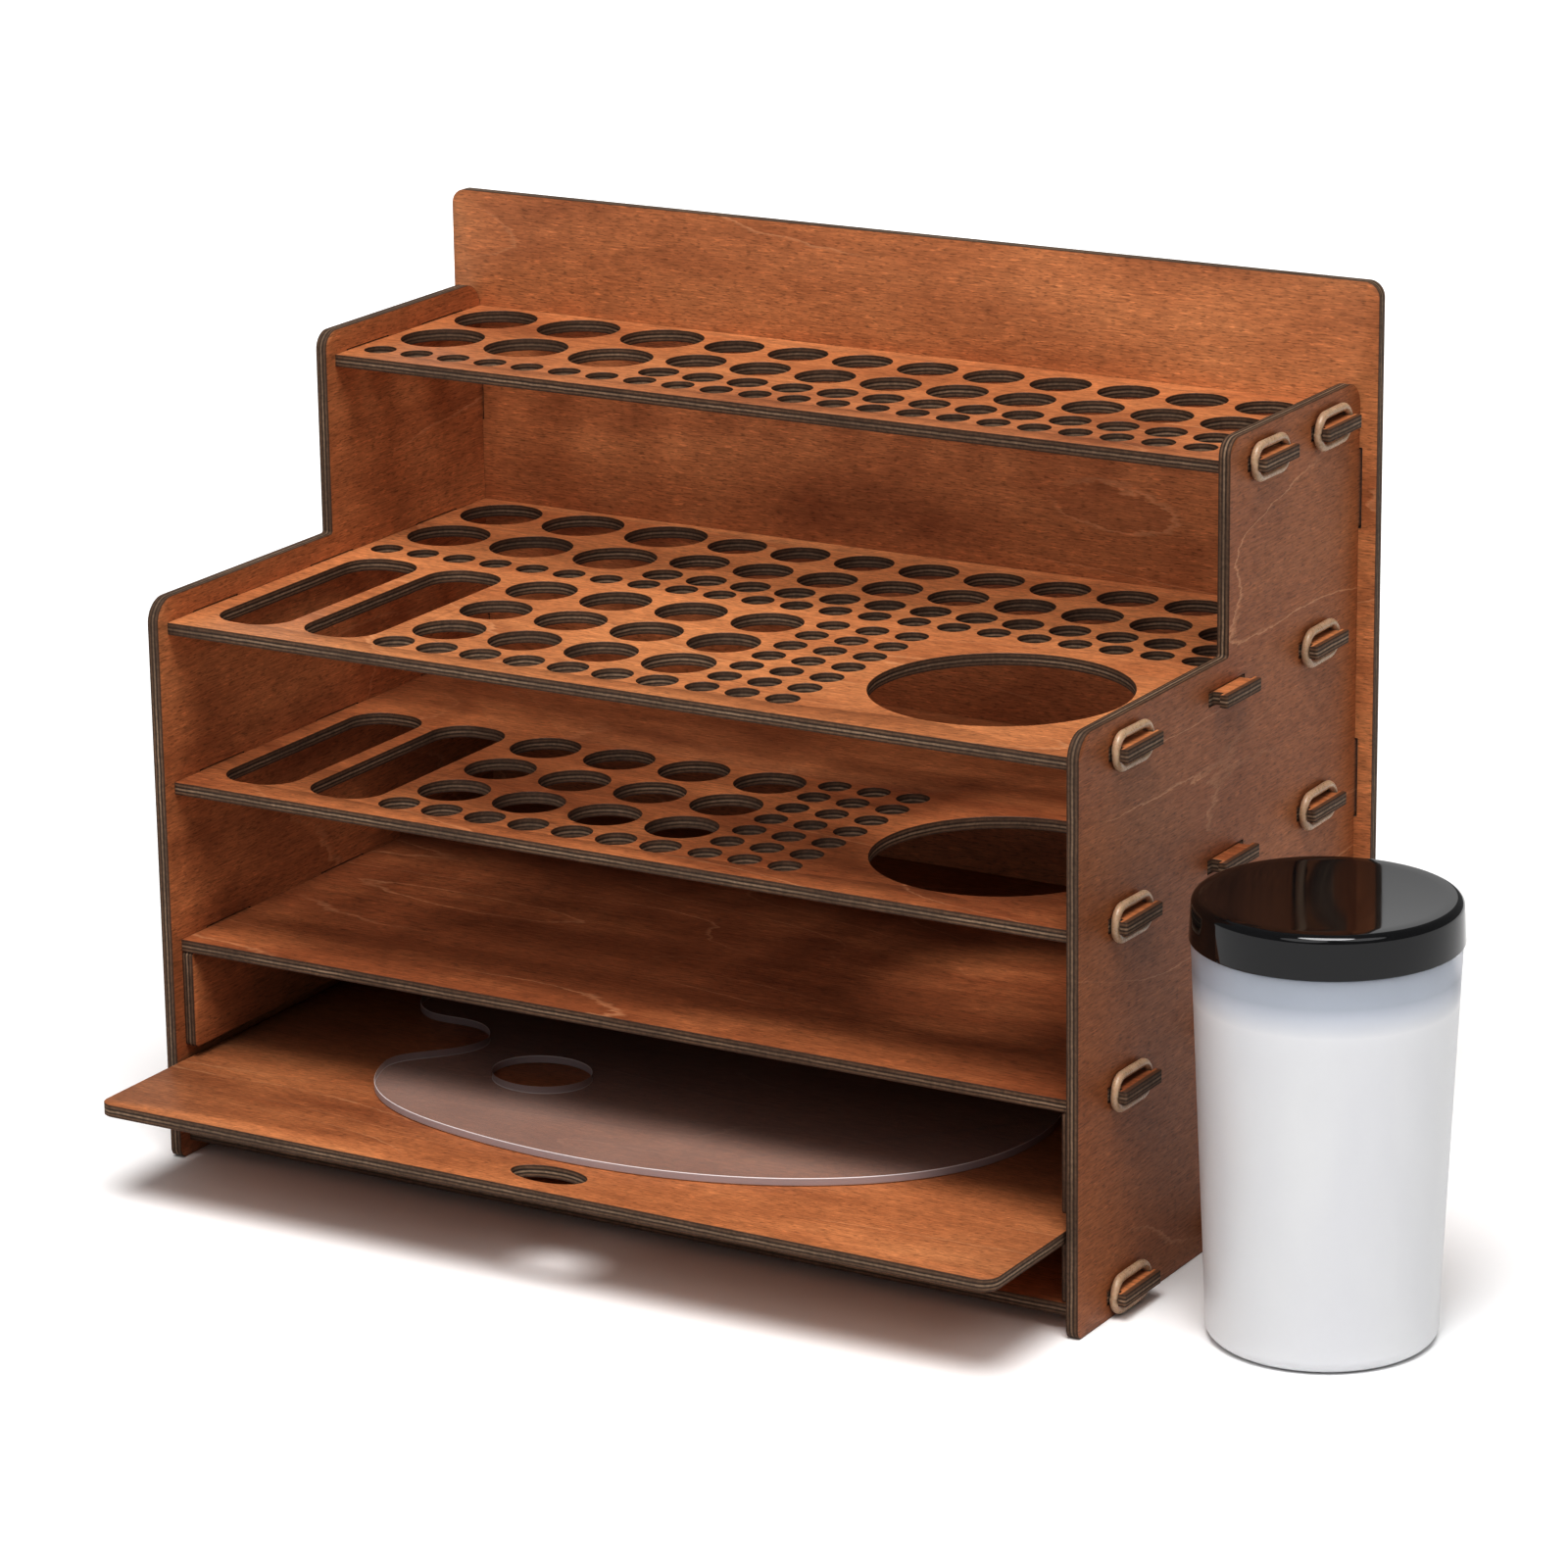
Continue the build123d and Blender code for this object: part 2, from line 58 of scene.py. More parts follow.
LOG = logging.getLogger("organizer")
MM = 0.001
MERGE_GAP = 0.001 * MM          # points closer than this are one point
FLAT_ANGLE = math.radians(0.5)  # faces that turn less than this are one flat face
CORNER_ANGLE = math.radians(40) # edges that turn more than this are eased
SMOOTH_ANGLE = math.radians(24) # edges that turn less than this are shaded smooth
UPWARD = 0.9                    # a face whose normal's height is over this looks up

Socket = bpy.types.NodeSocket
Colour = tuple[float, float, float]


class Axis(Enum):
    """A direction of the organizer's frame."""

    X = 0
    Y = 1
    Z = 2


class Slot(Enum):
    """The record's material slots."""

    PLYWOOD = "stained_plywood"
    RUBBER = "band_rubber"
    ACRYLIC = "palette_acrylic"
    POLYPROPYLENE = "jar_polypropylene"
    LID = "lid_plastic"


def linear(red: int, green: int, blue: int) -> Colour:
    """Turns a colour's screen values, 0 to 255, into the linear ones that a shader takes.

    Args:
        red, green, blue: the screen values.

    Returns:
        The linear colour.
    """
    share = np.array([red, green, blue]) / 255
    curved = np.where(share <= 0.04045, share / 12.92, ((share + 0.055) / 1.055) ** 2.4)
    return tuple(float(value) for value in curved)


class Recipe:
    """A material's node graph, written as one short call for each node."""

    def __init__(self, name: str) -> None:
        """Starts an empty graph under that name."""
        self.material = bpy.data.materials.new(name)
        self.material.use_nodes = True
        self.graph = self.material.node_tree
        self.graph.nodes.clear()

    def node(self, kind: str, inputs: dict | None = None, **settings: object) -> bpy.types.Node:
        """Adds one node.

        Args:
            kind: the node's type, without its ShaderNode prefix.
            inputs: a number, a colour or another node's output for each input.
            settings: the node's own options.

        Returns:
            The node.
        """
        node = self.graph.nodes.new("ShaderNode" + kind)
        for key, value in settings.items():
            setattr(node, key, value)
        for key, value in (inputs or {}).items():
            self.feed(node.inputs[key], value)
        return node

    def feed(self, socket: Socket, value: object) -> None:
        """Links an output to the socket, or sets the socket's own value."""
        if isinstance(value, bpy.types.NodeSocket):
            self.graph.links.new(value, socket)
        elif isinstance(value, tuple) and socket.type == "RGBA":
            socket.default_value = (*value, 1.0)
        else:
            socket.default_value = value

    def math(self, operation: str, *values: object, clamp: bool = False) -> Socket:
        """Works out one sum on numbers or outputs."""
        inputs = dict(enumerate(values))
        return self.node("Math", inputs, operation=operation, use_clamp=clamp).outputs[0]

    def stretch(self, place: Socket, scale: tuple[float, float, float]) -> Socket:
        """Multiplies a place by three scales, in patches per metre."""
        return self.node("VectorMath", {0: place, 1: scale}, operation="MULTIPLY").outputs[0]

    def noise(self, place: Socket, scale: tuple[float, float, float], detail: float = 2.0,
              roughness: float = 0.5) -> Socket:
        """Makes soft noise whose patches are stretched.

        Args:
            place: where the noise is read.
            scale: patches per metre in each direction.
            detail: how many finer layers are added.
            roughness: how strong the finer layers are.

        Returns:
            A number from 0 to 1.
        """
        stretched = self.stretch(place, scale)
        inputs = {"Vector": stretched, "Scale": 1.0, "Detail": detail, "Roughness": roughness}
        return self.node("TexNoise", inputs).outputs["Fac"]

    def steps(self, value: Socket, *stops: tuple[float, float]) -> Socket:
        """Maps a number through (position, level) stops joined by straight lines."""
        return self.tones(value, *((place, (level, level, level)) for place, level in stops))

    def tones(self, value: Socket, *stops: tuple[float, Colour]) -> Socket:
        """Maps a number through (position, colour) stops joined by straight lines."""
        node = self.node("ValToRGB", {"Fac": value})
        ramp = node.color_ramp
        while len(ramp.elements) < len(stops):
            ramp.elements.new(1.0)
        for element, (place, colour) in zip(ramp.elements, stops):
            element.position = place
            element.color = (*colour, 1.0)
        return node.outputs["Color"]

    def blend(self, share: object, first: object, second: object, way: str = "MIX") -> Socket:
        """Mixes two colours.

        Args:
            share: how much of the second colour is taken, from 0 to 1.
            first, second: the colours.
            way: Blender's name for the mix.

        Returns:
            The mixed colour.
        """
        inputs = {0: share, 6: first, 7: second}
        return self.node("Mix", inputs, data_type="RGBA", blend_type=way, clamp_factor=True).outputs[2]

    def bump(self, height: Socket, distance: float, strength: float = 1.0) -> Socket:
        """Turns a height from 0 to 1 into a bumped normal, with the full height given in metres."""
        return self.node("Bump", {"Height": height, "Distance": distance, "Strength": strength}).outputs[0]

    def finish(self, inputs: dict) -> bpy.types.Material:
        """Ends the graph in one Principled surface with these inputs."""
        surface = self.node("BsdfPrincipled", inputs)
        self.node("OutputMaterial", {"Surface": surface.outputs[0]})
        return self.material


@dataclass(frozen=True)
class StainedPlywood:
    """Birch plywood under a red-brown stain, with the dark edges that a laser leaves.

    The face has cloudy stain, fine fibres and dashes along the grain, and the light growth lines
    of a rotary-cut veneer. The cut edge shows its plies as lighter streaks. Painted light is laid
    into the face as well: painted shade at the tabs' ends, a darker tone on a side panel's outer
    face for its dimmer light, and a stain made lighter for painted sheen or darker for painted shade,
    sheet by sheet.
    """

    name: str
    through: Axis               # the way of the sheet's thickness
    along: Axis                 # the way of its grain
    lowest: float               # where the sheet's lower face lies on its thickness axis
    thickness: float
    shift: float                # moves the pattern, so that no two sheets are alike
    painted_shade_side: float = 0.0      # +1 or -1 where the face turned that way takes a darker tone, painted shade for its dimmer light
    painted_sheen_shade: float = 0.0       # how much lighter (painted sheen) or darker (painted shade) this sheet's stain is made
    tab_end: float = 0.0        # how far from the middle the sheet's tabs end, if it has any

    stain_deep: Colour = linear(148, 90, 57)
    stain_mid: Colour = linear(186, 123, 81)
    stain_bright: Colour = linear(210, 147, 100)
    growth_line: Colour = linear(222, 172, 132)
    # painted shade: the darker tone laid on a side panel's outer face
    painted_shade_tone: Colour = linear(134, 81, 48)
    char: Colour = linear(40, 31, 27)
    glue: Colour = linear(43, 33, 28)
    ply_light: Colour = linear(150, 126, 104)
    ply_mid: Colour = linear(127, 99, 77)
    ply_dark: Colour = linear(77, 59, 47)

    painted_shade_share: float = 0.74        # how much of the painted shade tone its side takes
    tab_shade_width: float = 1.9 * MM    # how far the painted shade reaches in from a tab's end
    tab_shade_share: float = 0.85        # how much of the face the painted shade hides there
    cross_shift: float = 1.7        # the pattern's move across the grain, for each one along it
    depth_stretch: float = 60.0     # keeps a sheet's two faces from showing one pattern
    ring_count: float = 12.0        # growth lines over the slow noise's whole range
    ring_jag: float = 0.014         # how ragged they are
    ply_waver: float = 0.10         # how far a ply wanders, as a share of the thickness
    cut_matt: float = 0.22          # how much rougher a cut edge is than a face
    specular: float = 0.33
    fibre_height: float = 0.09 * MM
    fibre_strength: float = 0.55

    def material(self) -> bpy.types.Material:
        """Makes the finish for one sheet."""
        recipe = Recipe(self.name)
        source = recipe.node("TexCoord").outputs
        parts = recipe.node("SeparateXYZ", {0: source["Object"]}).outputs
        turned = recipe.node("SeparateXYZ", {0: source["Normal"]}).outputs[self.through.value]
        face, height = self.face(recipe, self.place(recipe, parts), turned)
        # painted shade: the faces near each tab's end are darkened, standing in for the band's shadow over
        # them
        if self.tab_end:
            face = recipe.blend(self.painted_tab_shade(recipe, parts["X"]), face, self.ply_dark)
        depth = recipe.math("SUBTRACT", parts[self.through.value], self.lowest)
        edge = self.plies(recipe, source["Object"], recipe.math("DIVIDE", depth, self.thickness))
        upright = recipe.math("ABSOLUTE", turned)
        cut = recipe.steps(upright, (0.35, 1.0), (0.6, 0.0))
        arris = recipe.steps(upright, (0.45, 0.0), (0.6, 0.75), (0.8, 0.75), (0.97, 0.0))
        satin = recipe.steps(height, (0.3, 0.56), (0.7, 0.44))
        return recipe.finish({
            "Base Color": recipe.blend(arris, recipe.blend(cut, face, edge), self.char),
            "Roughness": recipe.math("ADD", recipe.math("MULTIPLY", cut, self.cut_matt), satin),
            "Specular IOR Level": self.specular,
            "Normal": recipe.bump(height, self.fibre_height, self.fibre_strength),
        })

    def place(self, recipe: Recipe, parts: bpy.types.bpy_prop_collection) -> Socket:
        """Gives the place on the sheet: along the grain, across it, and far apart on its two faces."""
        across = next(axis for axis in Axis if axis not in (self.through, self.along))
        return recipe.node("CombineXYZ", {
            0: recipe.math("ADD", parts[self.along.value], self.shift),
            1: recipe.math("ADD", parts[across.value], self.shift * self.cross_shift),
            2: recipe.math("MULTIPLY", parts[self.through.value], self.depth_stretch),
        }).outputs[0]

    def painted_tab_shade(self, recipe: Recipe, sideways: Socket) -> Socket:
        """Gives the painted shade at a tab's end, standing in for the band's shadow: it rises over its
        width, towards the tab's end.
        """
        reach = recipe.math("ABSOLUTE", sideways)
        past = recipe.math("SUBTRACT", reach, self.tab_end - self.tab_shade_width)
        share = recipe.math("DIVIDE", past, self.tab_shade_width, clamp=True)
        return recipe.steps(share, (0.0, 0.0), (0.3, self.tab_shade_share))

    def face(self, recipe: Recipe, place: Socket, turned: Socket) -> tuple[Socket, Socket]:
        """Makes the face: its veneer under its growth lines.

        Args:
            recipe: the graph to add to.
            place: the place on the sheet, with the grain along its first direction.
            turned: how far the face is turned along the thickness, from -1 to 1.

        Returns:
            The face's colour, and the height of its fibres from 0 to 1.
        """
        # painted shade: the face turned outwards takes a darker tone for its dimmer light
        facing = recipe.math("MULTIPLY", turned, self.painted_shade_side)
        painted_outer_shade = recipe.steps(facing, (0.6, 0.0), (0.9, self.painted_shade_share))
        colour, height = self.veneer(recipe, place, painted_outer_shade)
        line, beside = self.growth_lines(recipe, place)
        colour = recipe.blend(beside, colour, self.stain_deep)
        return recipe.blend(line, colour, self.growth_line), height

    def veneer(self, recipe: Recipe, place: Socket, painted_outer_shade: Socket) -> tuple[Socket, Socket]:
        """Makes the stained veneer: cloudy stain, with finer patterns multiplied over it.

        Args:
            recipe: the graph to add to.
            place: the place on the sheet, with the grain along its first direction.
            painted_outer_shade: how much of the darker tone shows, painted shade for an outer face's
                dimmer light.

        Returns:
            The veneer's colour, and the height of its fibres from 0 to 1.
        """
        cloud = recipe.noise(place, (11, 22, 1), 4, 0.55)
        stripe = recipe.noise(place, (5, 60, 1), 4, 0.55)
        fibre = recipe.noise(place, (120, 1500, 1), 3, 0.6)
        dash = recipe.noise(place, (380, 2100, 1), 1, 0.5)
        fleck = recipe.noise(place, (260, 1500, 3), 1, 0.5)
        mottle = recipe.noise(place, (190, 330, 1), 3, 0.65)
        # painted sheen and shade: the whole stain moves lighter where this is above zero, darker where
        # below
        stain = recipe.math("MULTIPLY_ADD", stripe, 0.3, self.painted_sheen_shade)
        stain = recipe.math("MULTIPLY_ADD", cloud, 0.7, stain)
        stops = ((0.32, self.stain_deep), (0.5, self.stain_mid), (0.70, self.stain_bright))
        # painted shade: the darker tone is mixed in on an outer face
        colour = recipe.blend(painted_outer_shade, recipe.tones(stain, *stops), self.painted_shade_tone)
        layers = (
            (0.9, recipe.steps(fibre, (0.32, 0.80), (0.62, 1.12))),
            (0.8, recipe.steps(dash, (0.32, 0.56), (0.43, 1.0))),
            (0.8, recipe.steps(fleck, (0.60, 1.0), (0.72, 1.35))),
            (0.9, recipe.steps(mottle, (0.3, 0.84), (0.7, 1.12))),
        )
        for share, layer in layers:
            colour = recipe.blend(share, colour, layer, "MULTIPLY")
        return colour, fibre

    def growth_lines(self, recipe: Recipe, place: Socket) -> tuple[Socket, Socket]:
        """Makes the veneer's thin wavy lines: the level lines of a slow, stretched noise.

        Args:
            recipe: the graph to add to.
            place: the place on the sheet, with the grain along its first direction.

        Returns:
            The strength of the light line, and of the darker wood beside it.
        """
        slow = recipe.noise(place, (3.0, 12.0, 0.7), 1.5, 0.4)
        jag = recipe.noise(place, (80, 260, 1), 3, 0.7)
        field = recipe.math("MULTIPLY_ADD", jag, self.ring_jag, slow)
        ring = recipe.math("FRACT", recipe.math("MULTIPLY", field, self.ring_count))
        shown = recipe.steps(recipe.noise(place, (8, 16, 1), 2, 0.5), (0.46, 0.0), (0.57, 1.0))
        line = recipe.steps(ring, (0.0, 0.0), (0.014, 0.42), (0.045, 0.0))
        shade = recipe.steps(ring, (0.80, 0.0), (1.0, 0.34))
        return recipe.math("MULTIPLY", line, shown), recipe.math("MULTIPLY", shade, shown)

    def plies(self, recipe: Recipe, place: Socket, level: Socket) -> Socket:
        """Makes the cut edge: lighter and darker streaks through the thickness, broken by soot.

        Args:
            recipe: the graph to add to.
            place: the place in the organizer's frame.
            level: the height in the sheet's thickness, from 0 to 1.

        Returns:
            The edge's colour.
        """
        waver = recipe.math("SUBTRACT", recipe.noise(place, (160, 160, 160), 2, 0.5), 0.5)
        level = recipe.math("MULTIPLY_ADD", waver, self.ply_waver, level)
        soot = recipe.noise(place, (700, 700, 700), 3, 0.6)
        streaks = recipe.tones(
            level,
            (0.00, self.char), (0.09, self.ply_dark), (0.20, self.ply_mid), (0.30, self.ply_dark),
            (0.36, self.glue), (0.44, self.ply_light), (0.53, self.ply_light), (0.60, self.glue),
            (0.68, self.ply_dark), (0.80, self.ply_mid), (0.92, self.ply_dark), (1.00, self.char),
        )
        patch = recipe.steps(recipe.noise(place, (26, 26, 26), 3, 0.5), (0.38, 0.0), (0.62, 0.55))
        streaks = recipe.blend(patch, streaks, self.ply_dark)
        return recipe.blend(0.8, streaks, recipe.steps(soot, (0.3, 0.6), (0.7, 1.2)), "MULTIPLY")


@dataclass(frozen=True)
class BandRubber:
    """Tan rubber with a satin skin and a slight mottle."""

    name: str = "tan_band_rubber"
    tan: Colour = linear(186, 158, 131)
    shaded_tan: Colour = linear(172, 144, 118)

    def material(self) -> bpy.types.Material:
        """Makes the finish."""
        recipe = Recipe(self.name)
        place = recipe.node("TexCoord").outputs["Object"]
        mottle = recipe.noise(place, (260, 260, 260), 3, 0.6)
        dust = recipe.noise(place, (1500, 1500, 1500), 2, 0.6)
        colour = recipe.tones(mottle, (0.35, self.shaded_tan), (0.62, self.tan))
        colour = recipe.blend(0.3, colour, recipe.steps(dust, (0.3, 0.84), (0.7, 1.08)), "MULTIPLY")
        return recipe.finish({
            "Base Color": colour,
            "Roughness": recipe.steps(dust, (0.3, 0.24), (0.7, 0.36)),
            "Specular IOR Level": 0.6,
            "Subsurface Weight": 0.12,
            "Subsurface Scale": 1.5 * MM,
            "Normal": recipe.bump(dust, 0.03 * MM, 0.25),
        })


@dataclass(frozen=True)
class FrostedAcrylic:
    """Clear sheet with a frosted skin: a grey haze over what lies under it, lighter cut edges, and a
    painted highlight along its eased edges.
    """

    name: str = "frosted_acrylic"
    haze: Colour = linear(184, 164, 157)
    pale_haze: Colour = linear(195, 175, 167)
    cut_edge: Colour = linear(182, 172, 176)
    # painted highlight: the bright colour laid on the eased edges
    rim: Colour = linear(228, 222, 222)
    face_cover: float = 0.30    # how much of what is under each face the haze hides
    edge_cover: float = 0.80

    def material(self) -> bpy.types.Material:
        """Makes the finish."""
        recipe = Recipe(self.name)
        source = recipe.node("TexCoord")
        place = source.outputs["Object"]
        cloud = recipe.noise(place, (30, 30, 30), 3, 0.5)
        frost = recipe.noise(place, (1100, 1100, 1100), 3, 0.6)
        upward = recipe.node("SeparateXYZ", {0: source.outputs["Normal"]}).outputs["Z"]
        turned = recipe.math("ABSOLUTE", upward)
        side = recipe.steps(turned, (0.4, 1.0), (0.6, 0.0))
        # painted highlight mask: the eased edge facets, which take the bright rim colour
        eased = recipe.steps(turned, (0.5, 0.0), (0.6, 1.0), (0.8, 1.0), (0.9, 0.0))
        colour = recipe.tones(cloud, (0.35, self.haze), (0.65, self.pale_haze))
        colour = recipe.blend(eased, recipe.blend(side, colour, self.cut_edge), self.rim)
        marked = recipe.math("MAXIMUM", side, eased)
        cover = recipe.math("MULTIPLY_ADD", marked, self.edge_cover - self.face_cover, self.face_cover)
        return recipe.finish({
            "Base Color": colour,
            "Roughness": recipe.steps(frost, (0.3, 0.36), (0.7, 0.48)),
            "IOR": 1.49,
            "Alpha": cover,
            "Normal": recipe.bump(frost, 0.02 * MM, 0.3),
        })


@dataclass(frozen=True)
class MilkyPlastic:
    """White plastic that light soaks into. Its neck is thin enough to show the lid's plug through it."""

    neck: float                 # the height where the clear neck starts
    name: str = "milky_polypropylene"
    white: Colour = linear(235, 235, 236)
    cloudy: Colour = linear(229, 229, 232)
    neck_tint: Colour = linear(226, 232, 244)
    neck_cover: float = 0.50    # how much of what is behind each skin the neck hides
    fade: float = 9 * MM        # how far below the neck the plastic starts to clear

    def material(self) -> bpy.types.Material:
        """Makes the finish."""
        recipe = Recipe(self.name)
        place = recipe.node("TexCoord").outputs["Object"]
        height = recipe.node("SeparateXYZ", {0: place}).outputs["Z"]
        above = recipe.math("SUBTRACT", height, self.neck - self.fade)
        level = recipe.math("DIVIDE", above, self.fade, clamp=True)
        cloud = recipe.noise(place, (26, 26, 9), 3, 0.5)
        frost = recipe.noise(place, (800, 800, 800), 2, 0.6)
        body = recipe.tones(cloud, (0.35, self.cloudy), (0.65, self.white))
        return recipe.finish({
            "Base Color": recipe.blend(level, body, self.neck_tint),
            "Roughness": recipe.steps(frost, (0.3, 0.30), (0.7, 0.40)),
            "IOR": 1.49,
            "Transmission Weight": 0.15,
            "Subsurface Weight": 0.25,
            "Subsurface Radius": (1.0, 1.0, 1.0),
            "Subsurface Scale": 5 * MM,
            "Alpha": recipe.math("MULTIPLY_ADD", level, self.neck_cover - 1.0, 1.0),
            "Normal": recipe.bump(frost, 0.01 * MM, 0.25),
        })


@dataclass(frozen=True)
class BlackPlastic:
    """Glossy black moulded plastic with faint moulding ripples and dust."""

    name: str = "gloss_black_plastic"
    black: Colour = linear(14, 14, 16)
    worn: Colour = linear(30, 30, 33)

    def material(self) -> bpy.types.Material:
        """Makes the finish."""
        recipe = Recipe(self.name)
        place = recipe.node("TexCoord").outputs["Object"]
        ripple = recipe.noise(place, (34, 34, 34), 2, 0.5)
        dust = recipe.noise(place, (1400, 1400, 1400), 3, 0.6)
        return recipe.finish({
            "Base Color": recipe.tones(dust, (0.55, self.black), (0.78, self.worn)),
            "Roughness": recipe.steps(ripple, (0.3, 0.035), (0.7, 0.07)),
            "Specular IOR Level": 0.62,
            "Normal": recipe.bump(ripple, 0.03 * MM, 0.2),
        })


@dataclass(frozen=True)
class PaleBacking:
    """The studio's plain paper floor."""

    name: str = "pale_floor"
    pale: Colour = (0.90, 0.90, 0.90)

    def material(self) -> bpy.types.Material:
        """Makes the finish."""
        inputs = {"Base Color": self.pale, "Roughness": 0.9, "Specular IOR Level": 0.1}
        return Recipe(self.name).finish(inputs)


def new_piece(name: str, mesh: bpy.types.Mesh, material: bpy.types.Material) -> bpy.types.Object:
    """Links a mesh into the scene as a piece with one material."""
    piece = bpy.data.objects.new(name, mesh)
    bpy.context.scene.collection.objects.link(piece)
    mesh.materials.append(material)
    return piece


def shade(mesh: bpy.types.Mesh) -> None:
    """Shades the mesh smooth, except across its corners."""
    mesh.shade_smooth()
    mesh.set_sharp_from_angle(angle=SMOOTH_ANGLE)


def grid_mesh(name: str, points: np.ndarray, closed_rows: bool) -> bpy.types.Mesh:
    """Joins a grid of points into a closed skin.

    Each point is joined to the next one along its row, which closes on itself, and to the same
    point of the next row.

    Args:
        name: the mesh's name.
        points: the places, as rows by columns by 3.
        closed_rows: True where the last row joins the first.

    Returns:
        The mesh, with its faces turned outwards.
    """
    rows, columns = points.shape[:2]
    index = np.arange(rows * columns).reshape(rows, columns)
    if closed_rows:
        index = np.vstack([index, index[:1]])
    beside = np.roll(index, -1, axis=1)
    quads = np.stack([index[:-1], beside[:-1], beside[1:], index[1:]], axis=-1).reshape(-1, 4)
    mesh = bpy.data.meshes.new(name)
    mesh.from_pydata(points.reshape(-1, 3).tolist(), [], quads.tolist())
    work = bmesh.new()
    work.from_mesh(mesh)
    bmesh.ops.remove_doubles(work, verts=work.verts, dist=MERGE_GAP)
    bmesh.ops.recalc_face_normals(work, faces=work.faces)
    work.to_mesh(mesh)
    work.free()
    shade(mesh)
    return mesh


def arc(centre: tuple[float, float], radius: float, start: float, stop: float,
        count: int = 9) -> np.ndarray:
    """Gives points on an arc: its centre plus the radius times the cosine and sine of even angles.

    Args:
        centre: the arc's centre.
        radius: its radius.
        start, stop: its end angles in degrees.
        count: how many points it has.

    Returns:
        The points, as count by 2.
    """
    angle = np.radians(np.linspace(start, stop, count))
    return np.array(centre) + radius * np.stack([np.cos(angle), np.sin(angle)], axis=-1)


def revolved(name: str, profile: np.ndarray, centre: Vector, around: int = 144) -> bpy.types.Mesh:
    """Turns a profile round an upright axis.

    A point's place is the axis, plus its radius along the direction of the turn's angle, plus its
    height. The profile starts and ends on the axis, so the skin closes.

    Args:
        name: the mesh's name.
        profile: radius and height of each point.
        centre: where the axis meets the frame's ground.
        around: how many steps the turn has.

    Returns:
        The mesh.
    """
    turn = np.linspace(0, 2 * np.pi, around, endpoint=False)
    radius, height = profile[:, :1], profile[:, 1:]
    points = np.stack([
        centre.x + radius * np.cos(turn),
        centre.y + radius * np.sin(turn),
        np.broadcast_to(height, (len(profile), around)),
    ], axis=-1)
    return grid_mesh(name, points, closed_rows=False)


def joined_copy(node: str) -> bmesh.types.BMesh:
    """Copies a CAD node's loose triangles and joins them at their points."""
    work = bmesh.new()
    work.from_mesh(frame["nodes"][node].data)
    bmesh.ops.remove_doubles(work, verts=work.verts, dist=MERGE_GAP)
    return work


def outlines(node: str) -> list[np.ndarray]:
    """Reads the outlines of a flat plate's upper face: its rim and its holes.

    Args:
        node: the plate's CAD node.

    Returns:
        The X and Y of each outline's points, in the order that keeps the plate on the left.
    """
    work = joined_copy(node)
    ahead = {
        loop.vert: loop.link_loop_next.vert
        for face in work.faces if face.normal.z > UPWARD
        for loop in face.loops if loop.link_loop_radial_next.face.normal.z < UPWARD
    }
    found = []
    while ahead:
        start, vert = ahead.popitem()
        chain = [start]
        while vert is not start:
            chain.append(vert)
            vert = ahead.pop(vert)
        found.append(np.array([vert.co[:2] for vert in chain]))
    work.free()
    return found


def plate_mesh(name: str, rims: list[np.ndarray], low: float, high: float, ease: float) -> bpy.types.Mesh:
    """Makes a flat plate with eased edges.

    Each outline is carried up through four rings. The first and last are drawn in by the ease, along
    the outline's normal, and their ends are filled with flat faces.

    Args:
        name: the mesh's name.
        rims: the outlines, with the plate on their left.
        low, high: the heights of its faces.
        ease: the width taken off each edge.

    Returns:
        The mesh.
    """
    levels = np.array([(low, ease), (low + ease, 0.0), (high - ease, 0.0), (high, ease)])
    points, quads, first = [], [], 0
    for rim in rims:
        along = np.roll(rim, -1, axis=0) - np.roll(rim, 1, axis=0)
        along /= np.linalg.norm(along, axis=1, keepdims=True)
        inward = np.stack([-along[:, 1], along[:, 0]], axis=-1)
        flat = rim[None] + inward[None] * levels[:, 1, None, None]
        tall = np.broadcast_to(levels[:, 0, None, None], (*flat.shape[:2], 1))
        points.append(np.concatenate([flat, tall], axis=-1).reshape(-1, 3))
        index = first + np.arange(levels.shape[0] * len(rim)).reshape(levels.shape[0], len(rim))
        beside = np.roll(index, -1, axis=1)
        quads.append(np.stack([index[:-1], beside[:-1], beside[1:], index[1:]], axis=-1).reshape(-1, 4))
        first += index.size
    mesh = bpy.data.meshes.new(name)
    mesh.from_pydata(np.vstack(points).tolist(), [], np.vstack(quads).tolist())
    work = bmesh.new()
    work.from_mesh(mesh)
    for height in (low, high):
        ends = [edge for edge in work.edges
                if edge.is_boundary and all(abs(vert.co.z - height) < MERGE_GAP for vert in edge.verts)]
        bmesh.ops.triangle_fill(work, use_beauty=True, edges=ends)
    bmesh.ops.recalc_face_normals(work, faces=work.faces)
    work.to_mesh(mesh)
    work.free()
    shade(mesh)
    return mesh


def eased_copy(node: str, name: str, ease: float) -> bpy.types.Mesh:
    """Copies a CAD node's mesh and takes its sharp edges off.

    Args:
        node: the CAD node.
        name: the mesh's name.
        ease: the width taken off each edge.

    Returns:
        The mesh.
    """
    work = joined_copy(node)
    bmesh.ops.dissolve_limit(work, angle_limit=FLAT_ANGLE, verts=work.verts, edges=work.edges)
    corners = [edge for edge in work.edges if edge.is_manifold and edge.calc_face_angle() > CORNER_ANGLE]
    bmesh.ops.bevel(work, geom=corners, offset=ease, offset_type="OFFSET", segments=1, affect="EDGES",
                    clamp_overlap=False)
    bmesh.ops.triangulate(work, faces=[face for face in work.faces if len(face.verts) > 4])
    mesh = bpy.data.meshes.new(name)
    work.to_mesh(mesh)
    work.free()
    shade(mesh)
    return mesh


